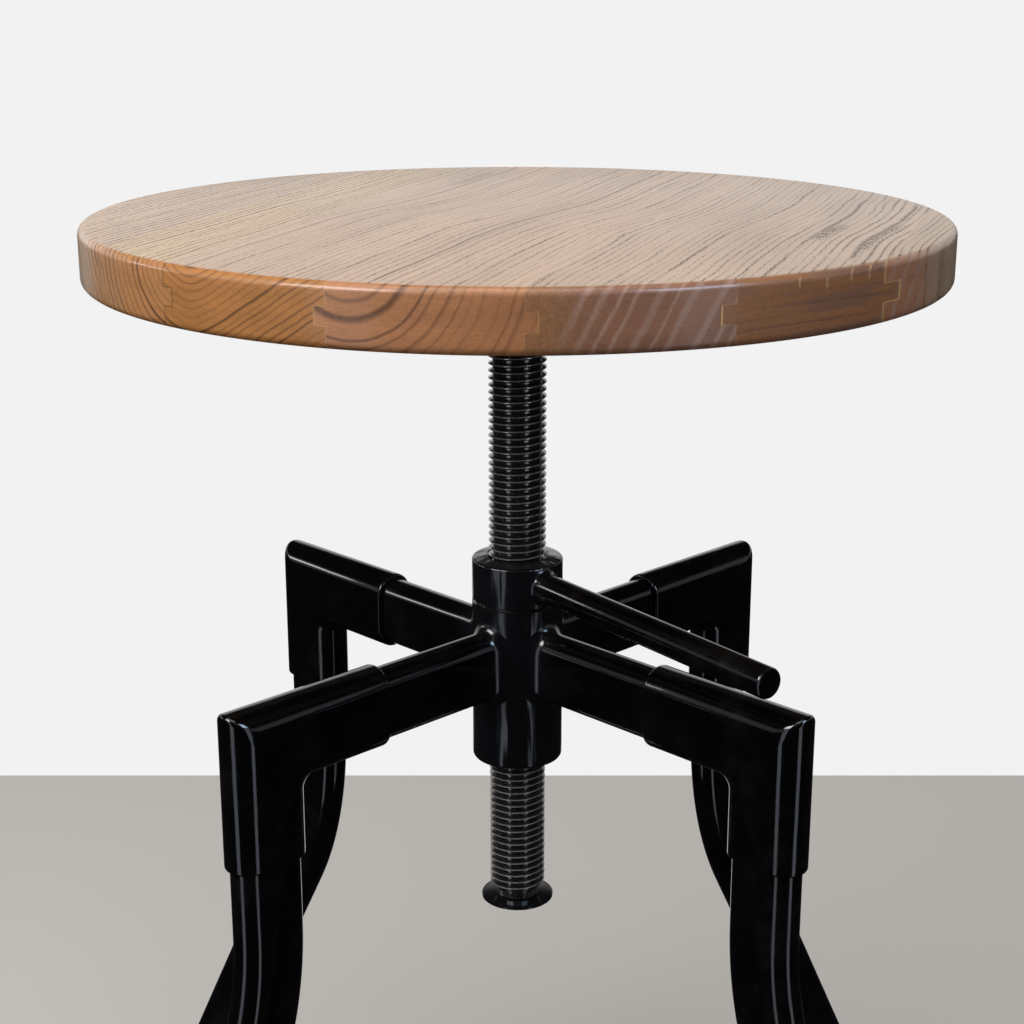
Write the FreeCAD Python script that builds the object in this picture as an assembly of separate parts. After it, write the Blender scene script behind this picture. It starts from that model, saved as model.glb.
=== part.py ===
import FreeCAD, Part
import math
import os

from FreeCAD import Vector

# Machinist stool: a round wooden seat on a threaded post that turns in a
# welded four-legged frame. Millimetres, +Z up, origin on the floor at the
# middle of the stool, seat at the height that the photograph shows.

# Driving dimensions

seat_top_height = 570.0
seat_diameter = 340.0
seat_thickness = 22.0
seat_edge_round = 3.0

grain_azimuth = 72.0
stave_joint_shares = [-0.66, -0.44, -0.052, 0.322, 0.672, 0.904]
tongue_depth = 4.0
tongue_share = 0.32
tongue_taper = 0.5

thread_diameter = 24.0
thread_pitch = 3.0
thread_depth_share = 0.6134
neck_diameter = 18.0
neck_length = 4.0

plate_diameter = 120.0
plate_thickness = 4.0
socket_diameter = 38.0
socket_height = 12.0
plate_screw_circle = 92.0
plate_screw_count = 4
plate_screw_first_azimuth = 45.0
plate_screw_diameter = 4.5
plate_screw_length = 14.0
plate_screw_head_diameter = 9.0
plate_screw_head_height = 3.0
plate_screw_head_slope = 0.5

hub_diameter = 38.0
hub_height = 72.2
hub_top_height = 409.8
hub_edge_chamfer = 0.8
hub_edge_round = 1.5

collar_height = 19.0
collar_edge_round = 1.0
handle_diameter = 12.0
handle_reach = 151.0
handle_azimuth = -53.5
handle_end_chamfer = 0.9
handle_weld_lip = 0.6
handle_weld_leg = 5.0
handle_weld_throat = 2.2

arm_count = 4
first_arm_azimuth = 44.7
tube_long = 30.0
tube_short = 15.0
tube_wall = 1.5
arm_drop = 25.8
arm_weld_leg = 7.0
arm_weld_throat = 2.0

# Where a weld's hollow slope dips, as shares of its leg and of its throat

weld_hollow_run = 0.4
weld_hollow_rise = 0.36

elbow_wall = 2.0
elbow_reach = 152.5
elbow_arm_length = 74.0
elbow_leg_length = 64.3
elbow_inner_round = 3.3
elbow_outer_round = 2.5
elbow_mouth_round = 1.2
elbow_plug_gap = 3.0

bend_start_drop = 102.6
bend_radius = 153.4
leg_splay = 29.84

foot_wall = 2.5
foot_sole = 4.0
foot_cover = 32.0
foot_top_round = 1.2

stop_washer_diameter = 31.0
stop_washer_thickness = 2.0
stop_washer_height = 271.1
stop_bolt_diameter = 10.0
stop_bolt_engagement = 16.0
stop_bolt_head_diameter = 17.5
stop_bolt_head_height = 5.5
stop_bolt_end_diameter = 8.0
stop_bolt_key_across = 6.0
stop_bolt_key_depth = 3.1

# Clearances

running_clearance = 0.05
washer_clearance = 0.30
washer_float = 0.10
cut_overshoot = 1.0

# Worked out from the dimensions above

seat_radius = seat_diameter / 2
stave_joints = [share * seat_radius for share in stave_joint_shares]
seat_underside = seat_top_height - seat_thickness
post_radius = thread_diameter / 2 - running_clearance
post_end_chamfer = thread_depth_share * thread_pitch
bore_radius = thread_diameter / 2
hub_radius = hub_diameter / 2
hub_bottom_height = hub_top_height - hub_height
arm_height = hub_top_height - arm_drop
sleeve_long = tube_long + 2 * elbow_wall
sleeve_short = tube_short + 2 * elbow_wall
leg_radius = elbow_reach - sleeve_long / 2
sleeve_top = arm_height + sleeve_long / 2
sleeve_mouth_height = sleeve_top - elbow_leg_length
sleeve_mouth_reach = elbow_reach - elbow_arm_length
bend_start_height = hub_top_height - bend_start_drop
splay = math.radians(leg_splay)
bend_end_reach = leg_radius + bend_radius * (1 - math.cos(splay))
bend_end_height = bend_start_height - bend_radius * math.sin(splay)
tube_end_height = foot_sole + tube_long / 2 * math.sin(splay)
tube_end_reach = bend_end_reach + (bend_end_height - tube_end_height) * math.tan(splay)
washer_top = stop_washer_height + stop_washer_thickness
post_bottom = washer_top + washer_float
plate_bottom = seat_underside - plate_thickness
socket_bottom = plate_bottom - socket_height

ORIGIN = Vector(0, 0, 0)
UP = Vector(0, 0, 1)
OUTWARD = Vector(1, 0, 0)
SIDEWAYS = Vector(0, 1, 0)


def cylinder(radius, bottom, top):
    """Upright cylinder on the stool's axis."""
    return Part.makeCylinder(radius, top - bottom, Vector(0, 0, bottom))


def turned(shape, azimuth):
    """A copy of a shape turned about the stool's axis."""
    copy = shape.copy()
    copy.rotate(ORIGIN, UP, azimuth)
    return copy


def revolved(outline):
    """Solid of revolution from (radius, height) points."""
    points = [Vector(radius, 0, height) for radius, height in outline]
    face = Part.Face(Part.makePolygon(points + points[:1]))
    return face.revolve(ORIGIN, UP, 360)


def obround(centre, long_way, short_way, long_size, short_size):
    """Flat-oval outline: two flats joined by half circles."""
    radius = short_size / 2
    flat = (long_size - short_size) / 2
    far = centre + long_way * flat
    near = centre - long_way * flat
    side = short_way * radius
    tip = long_way * radius
    edges = [
        Part.LineSegment(near - side, far - side).toShape(),
        Part.Arc(far - side, far + tip, far + side).toShape(),
        Part.LineSegment(far + side, near + side).toShape(),
        Part.Arc(near + side, near - tip, near - side).toShape(),
    ]
    return Part.Wire(edges)


def bar(start, run, long_way, long_size, short_size, start_round=0.0):
    """Straight flat-oval bar in the leg's plane, its first end rounded over."""
    wire = obround(start, long_way, SIDEWAYS, long_size, short_size)
    solid = Part.Face(wire).extrude(run)
    if start_round > 0:
        along = Vector(run).normalize()
        rim = [edge for edge in solid.Edges
               if all(abs((v.Point - start).dot(along)) < 1e-6 for v in edge.Vertexes)]
        solid = solid.makeFillet(start_round, rim)
    return solid


def half_space(point, away):
    """Large block on the side of a plane that 'away' points to."""
    size = 4 * seat_diameter
    block = Part.makeBox(size, size, size, Vector(-size / 2, -size / 2, 0))
    block.Placement = FreeCAD.Placement(point, FreeCAD.Rotation(UP, away))
    return block


# Seat

def seat_disc():
    """The whole round seat, both rims rounded over."""
    disc = cylinder(seat_radius, seat_underside, seat_top_height)
    rims = [edge for edge in disc.Edges if isinstance(edge.Curve, Part.Circle)]
    return disc.makeFillet(seat_edge_round, rims)


def joint_outline(offset, tongue):
    """One glued tongue joint from the underside up, as (offset, height)."""
    third = seat_thickness * tongue_share
    low = seat_underside + (seat_thickness - third) / 2
    high = low + third
    return [
        (offset, seat_underside - cut_overshoot),
        (offset, low),
        (offset + tongue, low + tongue_taper),
        (offset + tongue, high - tongue_taper),
        (offset, high),
        (offset, seat_top_height + cut_overshoot),
    ]


def edge_outline(offset):
    """The plain outer side of the first or last stave, beyond the rim."""
    return [(offset, seat_underside - cut_overshoot), (offset, seat_top_height + cut_overshoot)]


def plate_screw_places():
    """Centres of the plate's screws on their circle."""
    places = []
    for index in range(plate_screw_count):
        angle = math.radians(plate_screw_first_azimuth + 360 / plate_screw_count * index)
        radius = plate_screw_circle / 2
        places.append(Vector(radius * math.cos(angle), radius * math.sin(angle), 0))
    return places


def plate_screw_shank(place, radius, bottom):
    """A screw's shank from a given height up into the wood."""
    top = seat_underside + plate_screw_length
    return Part.makeCylinder(radius, top - bottom, Vector(place.x, place.y, bottom))


def seat_staves():
    """The glued staves: each joint's tongue points the other way from the last."""
    beyond = seat_radius + tongue_depth + cut_overshoot
    outlines = [edge_outline(-beyond)]
    for index, offset in enumerate(stave_joints):
        side = -1 if index % 2 == 0 else 1
        outlines.append(joint_outline(offset, side * tongue_depth))
    outlines.append(edge_outline(beyond))
    disc = seat_disc()
    staves = []
    for left, right in zip(outlines[:-1], outlines[1:]):
        outline = left + right[::-1]
        points = [Vector(offset, -beyond, height) for offset, height in outline]
        face = Part.Face(Part.makePolygon(points + points[:1]))
        blank = face.extrude(SIDEWAYS * (2 * beyond))
        stave = disc.common(turned(blank, grain_azimuth - 90))
        for place in plate_screw_places():
            stave = stave.cut(plate_screw_shank(place, plate_screw_diameter / 2, seat_underside))
        staves.append(stave)
    return staves


def seat_plate():
    """Round steel plate under the seat, drilled for the post and its screws."""
    solid = cylinder(plate_diameter / 2, plate_bottom, seat_underside)
    solid = solid.cut(cylinder(bore_radius, plate_bottom, seat_underside))
    for place in plate_screw_places():
        hole = plate_screw_shank(place, plate_screw_diameter / 2, plate_bottom)
        solid = solid.cut(hole)
    return solid


def post_socket():
    """Ring welded under the plate that steadies the top of the post."""
    ring = cylinder(socket_diameter / 2, socket_bottom, plate_bottom)
    return ring.cut(cylinder(bore_radius, socket_bottom, plate_bottom))


def seat_plate_screws():
    """Round-headed wood screws that hold the plate to the seat."""
    screws = []
    for place in plate_screw_places():
        radius = plate_screw_head_diameter / 2
        head = Part.makeCylinder(radius, plate_screw_head_height,
                                 Vector(place.x, place.y, plate_bottom), UP * -1)
        rim = [edge for edge in head.Edges
               if isinstance(edge.Curve, Part.Circle)
               and edge.CenterOfMass.z < plate_bottom - plate_screw_head_height / 2]
        head = head.makeChamfer(plate_screw_head_height * plate_screw_head_slope, rim)
        shank = plate_screw_shank(place, plate_screw_diameter / 2, plate_bottom)
        screws.append(head.fuse(shank))
    return Part.makeCompound(screws)


# Threaded post and its stop

def threaded_post():
    """The post at its thread's outer diameter, necked above the stop washer."""
    neck_top = post_bottom + neck_length
    outline = [
        (0, post_bottom),
        (neck_diameter / 2, post_bottom),
        (neck_diameter / 2, neck_top),
        (post_radius - post_end_chamfer, neck_top),
        (post_radius, neck_top + post_end_chamfer),
        (post_radius, seat_underside),
        (0, seat_underside),
    ]
    socket = cylinder(stop_bolt_diameter / 2, post_bottom, post_bottom + stop_bolt_engagement)
    return revolved(outline).cut(socket)


def stop_washer():
    """Loose washer that meets the hub when the seat is fully up."""
    ring = cylinder(stop_washer_diameter / 2, stop_washer_height, washer_top)
    return ring.cut(cylinder(stop_bolt_diameter / 2 + washer_clearance,
                             stop_washer_height, washer_top))


def button_head(top):
    """Domed screw head, widest at the given height, its end cut flat."""
    bottom = top - stop_bolt_head_height
    wide = stop_bolt_head_diameter / 2
    flat = stop_bolt_end_diameter / 2
    middle = (top + bottom) / 2
    centre = middle + (wide ** 2 - flat ** 2) / (2 * stop_bolt_head_height)
    ball = Part.makeSphere(math.hypot(wide, centre - top), Vector(0, 0, centre))
    return ball.common(cylinder(wide, bottom, top))


def hexagon_key(across, bottom, top):
    """Upright hexagonal prism on the axis."""
    corner = across / math.sqrt(3)
    corners = []
    for index in range(6):
        angle = math.radians(60 * index)
        corners.append(Vector(corner * math.cos(angle), corner * math.sin(angle), bottom))
    return Part.Face(Part.makePolygon(corners + corners[:1])).extrude(UP * (top - bottom))


def stop_bolt():
    """Button-head screw that holds the washer under the post, its key socket below."""
    head_top = stop_washer_height - washer_float
    head_bottom = head_top - stop_bolt_head_height
    head = button_head(head_top)
    shank = cylinder(stop_bolt_diameter / 2, head_top, post_bottom + stop_bolt_engagement)
    key = hexagon_key(stop_bolt_key_across, head_bottom, head_bottom + stop_bolt_key_depth)
    return head.fuse(shank).cut(key)


# Hub, collar and handle

def threaded_ring(bottom, top):
    """Turned ring of the hub's diameter, bored for the post."""
    return cylinder(hub_radius, bottom, top).cut(cylinder(bore_radius, bottom, top))


def outer_rim(ring, height):
    """The ring's outer round edge at a given height."""
    return [edge for edge in ring.Edges
            if isinstance(edge.Curve, Part.Circle)
            and abs(edge.Curve.Radius - hub_radius) < 1e-6
            and abs(edge.Curve.Center.z - height) < 1e-6]


def hub():
    """Turned boss, threaded right through, that carries the four arms."""
    boss = threaded_ring(hub_bottom_height, hub_top_height)
    boss = boss.makeFillet(hub_edge_round, outer_rim(boss, hub_bottom_height))
    return boss.makeChamfer(hub_edge_chamfer, outer_rim(boss, hub_top_height))


def lock_collar():
    """Threaded collar that jams against the hub."""
    top = hub_top_height + collar_height
    ring = threaded_ring(hub_top_height, top)
    ring = ring.makeChamfer(hub_edge_chamfer, outer_rim(ring, hub_top_height))
    return ring.makeFillet(collar_edge_round, outer_rim(ring, top))


def lock_handle():
    """Round bar welded to the collar's side, its weld fillet in the same piece."""
    radius = handle_diameter / 2
    height = hub_top_height + collar_height / 2
    root = hub_radius + handle_weld_leg
    outline = [
        (0, hub_radius / 2),
        (radius + handle_weld_throat, hub_radius / 2),
        (radius + handle_weld_throat, hub_radius + handle_weld_lip),
        (radius + handle_weld_throat * weld_hollow_rise,
         hub_radius + handle_weld_lip + (handle_weld_leg - handle_weld_lip) * weld_hollow_run),
        (radius, root),
        (radius, handle_reach - handle_end_chamfer),
        (radius - handle_end_chamfer, handle_reach),
        (0, handle_reach),
    ]
    rod = revolved(outline)
    rod.rotate(ORIGIN, SIDEWAYS, 90)
    rod.translate(Vector(0, 0, height))
    rod = rod.cut(cylinder(hub_radius, height - collar_height, height + collar_height))
    return turned(rod, handle_azimuth)


# Frame: one arm, elbow, leg and foot in the plane of azimuth 0

def arm_weld_profile():
    """The weld fillet's hollow slope, as (reach, thickness over the tube)."""
    side_reach = math.sqrt(hub_radius ** 2 - (tube_short / 2 + arm_weld_throat) ** 2)
    return [
        (side_reach, arm_weld_throat),
        (hub_radius, arm_weld_throat),
        (hub_radius + arm_weld_leg * weld_hollow_run, arm_weld_throat * weld_hollow_rise),
        (hub_radius + arm_weld_leg, 0),
    ]


def arm():
    """Flat-oval tube, saddled to the hub with a weld fillet, open inside."""
    end = leg_radius - tube_long / 2 - elbow_plug_gap
    start = Vector(hub_radius / 2, 0, arm_height)
    run = OUTWARD * (end - start.x)
    outer = bar(start, run, UP, tube_long, tube_short)
    sections = []
    for reach, thickness in arm_weld_profile():
        centre = Vector(reach, 0, arm_height)
        sections.append(obround(centre, UP, SIDEWAYS,
                                tube_long + 2 * thickness, tube_short + 2 * thickness))
    solid = outer.fuse(Part.makeLoft(sections, True, True))
    solid = solid.cut(bar(start, run, UP, tube_long - 2 * tube_wall, tube_short - 2 * tube_wall))
    return solid.cut(cylinder(hub_radius, hub_bottom_height, hub_top_height))


def elbow_body(long_size, short_size, mouth_reach, mouth_height, mouth_round):
    """Mitred right-angle bar: sharp outside, rounded in its inner corner."""
    corner = Vector(leg_radius, 0, arm_height)
    mitre_out = Vector(1, 0, -1)
    level_start = Vector(mouth_reach, 0, arm_height)
    level = bar(level_start, OUTWARD * (leg_radius + long_size - mouth_reach), UP,
                long_size, short_size, mouth_round)
    level = level.cut(half_space(corner, mitre_out))
    plumb_start = Vector(leg_radius, 0, mouth_height)
    plumb = bar(plumb_start, UP * (arm_height + long_size - mouth_height), OUTWARD,
                long_size, short_size, mouth_round)
    plumb = plumb.cut(half_space(corner, mitre_out * -1))
    inner_round = elbow_inner_round + (sleeve_long - long_size) / 2
    turn = long_size / 2 + inner_round
    centre = Vector(leg_radius - turn, 0, arm_height - turn)
    section = Part.Face(obround(corner - UP * turn, OUTWARD, SIDEWAYS, long_size, short_size))
    bend = section.revolve(centre, SIDEWAYS * -1, 90)
    return level.fuse([plumb, bend]).removeSplitter()


def elbow_tip_waste():
    """What the rounding takes off the elbow's sharp outer tip."""
    centre = Vector(elbow_reach - elbow_outer_round, -sleeve_short / 2,
                    sleeve_top - elbow_outer_round)
    block = Part.makeBox(elbow_outer_round, sleeve_short, elbow_outer_round, centre)
    return block.cut(Part.makeCylinder(elbow_outer_round, sleeve_short, centre, SIDEWAYS))


def elbow():
    """Socket that joins an arm tube to a leg tube at a right angle."""
    outer = elbow_body(sleeve_long, sleeve_short, sleeve_mouth_reach,
                       sleeve_mouth_height, elbow_mouth_round)
    inner = elbow_body(tube_long, tube_short, sleeve_mouth_reach - cut_overshoot,
                       sleeve_mouth_height - cut_overshoot, 0.0)
    return outer.cut([inner, elbow_tip_waste()])


def leg_body(long_size, short_size, top, overrun):
    """Bent flat-oval bar down the leg's centre line."""
    start = Vector(leg_radius, 0, top)
    upper = bar(start, UP * (bend_start_height - top), OUTWARD, long_size, short_size)
    bend_top = Vector(leg_radius, 0, bend_start_height)
    section = Part.Face(obround(bend_top, OUTWARD, SIDEWAYS, long_size, short_size))
    pivot = Vector(leg_radius + bend_radius, 0, bend_start_height)
    bend = section.revolve(pivot, SIDEWAYS * -1, leg_splay)
    lower_start = Vector(bend_end_reach, 0, bend_end_height)
    lower_end = Vector(tube_end_reach, 0, tube_end_height) + leg_direction() * overrun
    lower = bar(lower_start, lower_end - lower_start, leg_outward(), long_size, short_size)
    return upper.fuse([bend, lower]).removeSplitter()


def leg_direction():
    """Way down the splayed part of the leg."""
    return Vector(math.sin(splay), 0, -math.cos(splay))


def leg_outward():
    """Way across the splayed part of the leg, in its own plane."""
    return Vector(math.cos(splay), 0, math.sin(splay))


def leg():
    """Bent tube from the elbow to the foot, open inside."""
    top = arm_height - tube_long / 2 - elbow_plug_gap
    outer = leg_body(tube_long, tube_short, top, 0)
    inner = leg_body(tube_long - 2 * tube_wall, tube_short - 2 * tube_wall,
                     top + cut_overshoot, cut_overshoot)
    return outer.cut(inner)


def foot():
    """Push-on cap, its sole flat on the floor."""
    end = Vector(tube_end_reach, 0, tube_end_height)
    top = end - leg_direction() * foot_cover
    long_size = tube_long + 2 * foot_wall
    short_size = tube_short + 2 * foot_wall
    down = leg_direction() * (foot_cover + long_size)
    shell = bar(top, down, leg_outward(), long_size, short_size, foot_top_round)
    shell = shell.cut(half_space(ORIGIN, UP * -1))
    pocket_top = top - leg_direction() * cut_overshoot
    pocket = bar(pocket_top, end - pocket_top, leg_outward(), tube_long, tube_short)
    return shell.cut(pocket)


def build_nodes():
    """Every node of the stool by name."""
    nodes = {
        "seat_plate": seat_plate(),
        "post_socket": post_socket(),
        "seat_plate_screws": seat_plate_screws(),
        "threaded_post": threaded_post(),
        "stop_washer": stop_washer(),
        "stop_bolt": stop_bolt(),
        "hub": hub(),
        "lock_collar": lock_collar(),
        "lock_handle": lock_handle(),
    }
    for number, stave in enumerate(seat_staves(), start=1):
        nodes["seat_stave_%d" % number] = stave
    for kind, shape in (("arm", arm()), ("elbow", elbow()), ("leg", leg()), ("foot", foot())):
        for index in range(arm_count):
            azimuth = first_arm_azimuth + 360 / arm_count * index
            nodes["%s_%d" % (kind, index + 1)] = turned(shape, azimuth)
    return nodes


os.makedirs("parts", exist_ok=True)
for name, shape in build_nodes().items():
    solids = len(shape.Solids)
    print("%-18s solids %d valid %s volume %.0f" % (name, solids, shape.isValid(), shape.Volume))
    shape.exportStep(os.path.join("parts", name + ".step"))
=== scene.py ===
import math

import bmesh
import bpy
from mathutils import Matrix, Vector


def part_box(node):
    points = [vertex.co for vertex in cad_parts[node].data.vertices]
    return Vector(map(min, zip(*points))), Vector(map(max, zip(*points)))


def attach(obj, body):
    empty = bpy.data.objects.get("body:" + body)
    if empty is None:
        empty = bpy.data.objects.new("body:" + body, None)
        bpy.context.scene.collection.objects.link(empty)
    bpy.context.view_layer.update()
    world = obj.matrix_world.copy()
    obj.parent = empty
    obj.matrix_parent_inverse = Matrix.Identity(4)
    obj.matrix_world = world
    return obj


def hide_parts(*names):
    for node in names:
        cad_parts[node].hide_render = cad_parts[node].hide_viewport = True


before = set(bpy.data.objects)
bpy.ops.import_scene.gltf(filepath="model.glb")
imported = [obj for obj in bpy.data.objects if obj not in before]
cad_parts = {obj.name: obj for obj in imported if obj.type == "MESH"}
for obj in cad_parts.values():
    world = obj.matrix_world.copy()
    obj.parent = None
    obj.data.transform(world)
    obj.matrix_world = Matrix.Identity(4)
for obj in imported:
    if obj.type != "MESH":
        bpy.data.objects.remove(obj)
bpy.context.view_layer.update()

# Machinist stool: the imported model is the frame, and each piece below stands for
# a node of it. Lengths are millimetres, in the model's own frame, unless a name
# says metres; MM turns them into metres.

MM = 0.001


def top_of(node):
    """Highest point of a node."""
    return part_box(node)[1].z / MM


def bottom_of(node):
    """Lowest point of a node."""
    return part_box(node)[0].z / MM


def radius_of(node):
    """Outer radius of a round node on the stool's axis."""
    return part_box(node)[1].x / MM


# Heights and radii read from the frame

seat_top = top_of("seat_stave_4")
seat_underside = bottom_of("seat_stave_4")
hub_top = top_of("hub")
hub_bottom = bottom_of("hub")
hub_radius = radius_of("hub")
collar_top = top_of("lock_collar")
elbow_top = top_of("elbow_1")
elbow_mouth_height = bottom_of("elbow_1")
post_radius = radius_of("threaded_post")
post_bottom = bottom_of("threaded_post")
plate_radius = radius_of("seat_plate")
plate_bottom = bottom_of("seat_plate")
socket_radius = radius_of("post_socket")
socket_bottom = bottom_of("post_socket")
washer_top = top_of("stop_washer")
washer_bottom = bottom_of("stop_washer")
washer_radius = radius_of("stop_washer")

# Seat

seat_radius = 170.0
seat_edge_round = 3.0
grain_azimuth = 72.0
stave_joints = [share * seat_radius for share in (-0.66, -0.44, -0.052, 0.322, 0.672, 0.904)]
tongue_depth = 4.0
tongue_share = 0.32
tongue_taper = 0.5
rim_step_degrees = 1.5

# Post, hub and collar

thread_pitch = 3.0
thread_depth = 1.84
thread_crest = 0.26
thread_root = 0.75
thread_softness = 0.08
neck_radius = 9.0
neck_length = 4.0
bore_radius = 12.05
bore_countersink = 1.0
hub_edge_chamfer = 0.8
hub_edge_round = 1.5
collar_edge_round = 1.0
collar_lift = 0.03       # clears the hub by a hair, so that the two turn freely
plate_edge_round = 0.8
socket_chamfer = 1.0
socket_weld = 2.5
washer_bore = 5.3
washer_edge_round = 0.7

# Lock handle

handle_radius = 6.0
handle_reach = 151.0
handle_azimuth = -53.5
handle_end_chamfer = 0.9
handle_weld = 2.4

# Frame: one arm, elbow, leg and foot in the plane of azimuth 0

first_arm_azimuth = 44.7
tube_long = 30.0
tube_short = 15.0
tube_wall = 1.5
arm_weld = 4.6
weld_lump = 0.10
weld_lump_turn = 1.7
weld_overlap = 0.2
elbow_wall = 2.0
elbow_reach = 152.5
elbow_arm_length = 74.0
elbow_inner_round = 3.3
elbow_ridge_round = 1.6
elbow_flat_round = 5.0
elbow_lip_round = 1.2
plug_gap = 3.0
fit_clearance = 0.03
bend_start_drop = 102.6
bend_radius = 153.4
leg_splay = math.radians(29.84)
foot_wall = 2.5
foot_sole = 4.0
foot_cover = 32.0
foot_edge_round = 1.2

sleeve_long = tube_long + 2 * elbow_wall
sleeve_short = tube_short + 2 * elbow_wall
arm_height = elbow_top - sleeve_long / 2
leg_reach = elbow_reach - sleeve_long / 2
elbow_mouth_reach = elbow_reach - elbow_arm_length
bend_start = hub_top - bend_start_drop

# Smoothness of the round forms

lathe_steps = 96
oval_steps = 16
bend_steps = 20
fillet_steps = 8
merge_distance = 0.002
shortest_edge = 0.001


# Mesh making

def skin(rings, closed=False):
    """Vertices and faces of a skin over rings of points, capped unless it closes on itself."""
    count = len(rings[0])
    points = [tuple(point) for ring in rings for point in ring]
    faces = []
    for row in range(len(rings) if closed else len(rings) - 1):
        here = row * count
        there = (row + 1) % len(rings) * count
        for k in range(count):
            after = (k + 1) % count
            faces.append((here + k, here + after, there + after, there + k))
    if not closed:
        faces.append(tuple(range(count - 1, -1, -1)))
        faces.append(tuple(range(len(points) - count, len(points))))
    return points, faces


def lathe(outline, steps=lathe_steps):
    """Skin of revolution about the stool's axis from a closed (radius, height) outline."""
    rings = []
    for step in range(steps):
        angle = 2 * math.pi * step / steps
        rings.append([(r * math.cos(angle), r * math.sin(angle), z) for r, z in outline])
    return skin(rings, closed=True)


def add_piece(name, skins, material, body, replaced, crease_degrees=34):
    """One visible piece in the model's frame, made of one or more closed skins."""
    points, faces = [], []
    for skin_points, skin_faces in skins:
        start = len(points)
        points.extend(Vector(point) * MM for point in skin_points)
        faces.extend(tuple(start + k for k in face) for face in skin_faces)
    mesh = bpy.data.meshes.new(name)
    mesh.from_pydata(points, [], faces)
    form = bmesh.new()
    form.from_mesh(mesh)
    bmesh.ops.remove_doubles(form, verts=form.verts, dist=merge_distance * MM)
    bmesh.ops.dissolve_degenerate(form, edges=form.edges, dist=shortest_edge * MM)
    bmesh.ops.recalc_face_normals(form, faces=form.faces)
    form.to_mesh(mesh)
    form.free()
    mesh.shade_smooth()
    mesh.set_sharp_from_angle(angle=math.radians(crease_degrees))
    mesh.materials.append(material)
    piece = bpy.data.objects.new(name, mesh)
    bpy.context.scene.collection.objects.link(piece)
    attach(piece, body)
    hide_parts(*replaced)


def turned(skin_parts, azimuth_degrees):
    """A skin turned about the stool's axis."""
    points, faces = skin_parts
    turn = Matrix.Rotation(math.radians(azimuth_degrees), 3, "Z")
    return [tuple(turn @ Vector(point)) for point in points], faces


def quarter(steps):
    """Angles from 0 to 90 degrees, in radians."""
    return [math.pi / 2 * step / steps for step in range(steps + 1)]


def edge_arc(radius, side, height, inward, upward, steps=4):
    """Quarter round of (radius, height) points from an outline's side towards its flat face.

    It ends at the given height, so the face slopes on from there to where the next point lies.
    """
    return [(side + inward * radius * (1 - math.cos(angle)),
             height + upward * radius * (math.sin(angle) - 1)) for angle in quarter(steps)]


def oval(long_size, short_size, offset=0.0):
    """Flat-oval section as (height, side) points, moved outward by an offset."""
    radius = short_size / 2
    flat = long_size / 2 - radius
    points = []
    for centre, first in ((flat, -math.pi / 2), (-flat, math.pi / 2)):
        for step in range(oval_steps + 1):
            angle = first + math.pi * step / oval_steps
            points.append((centre + (radius + offset) * math.cos(angle),
                           (radius + offset) * math.sin(angle)))
    return points


# Material making

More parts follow.
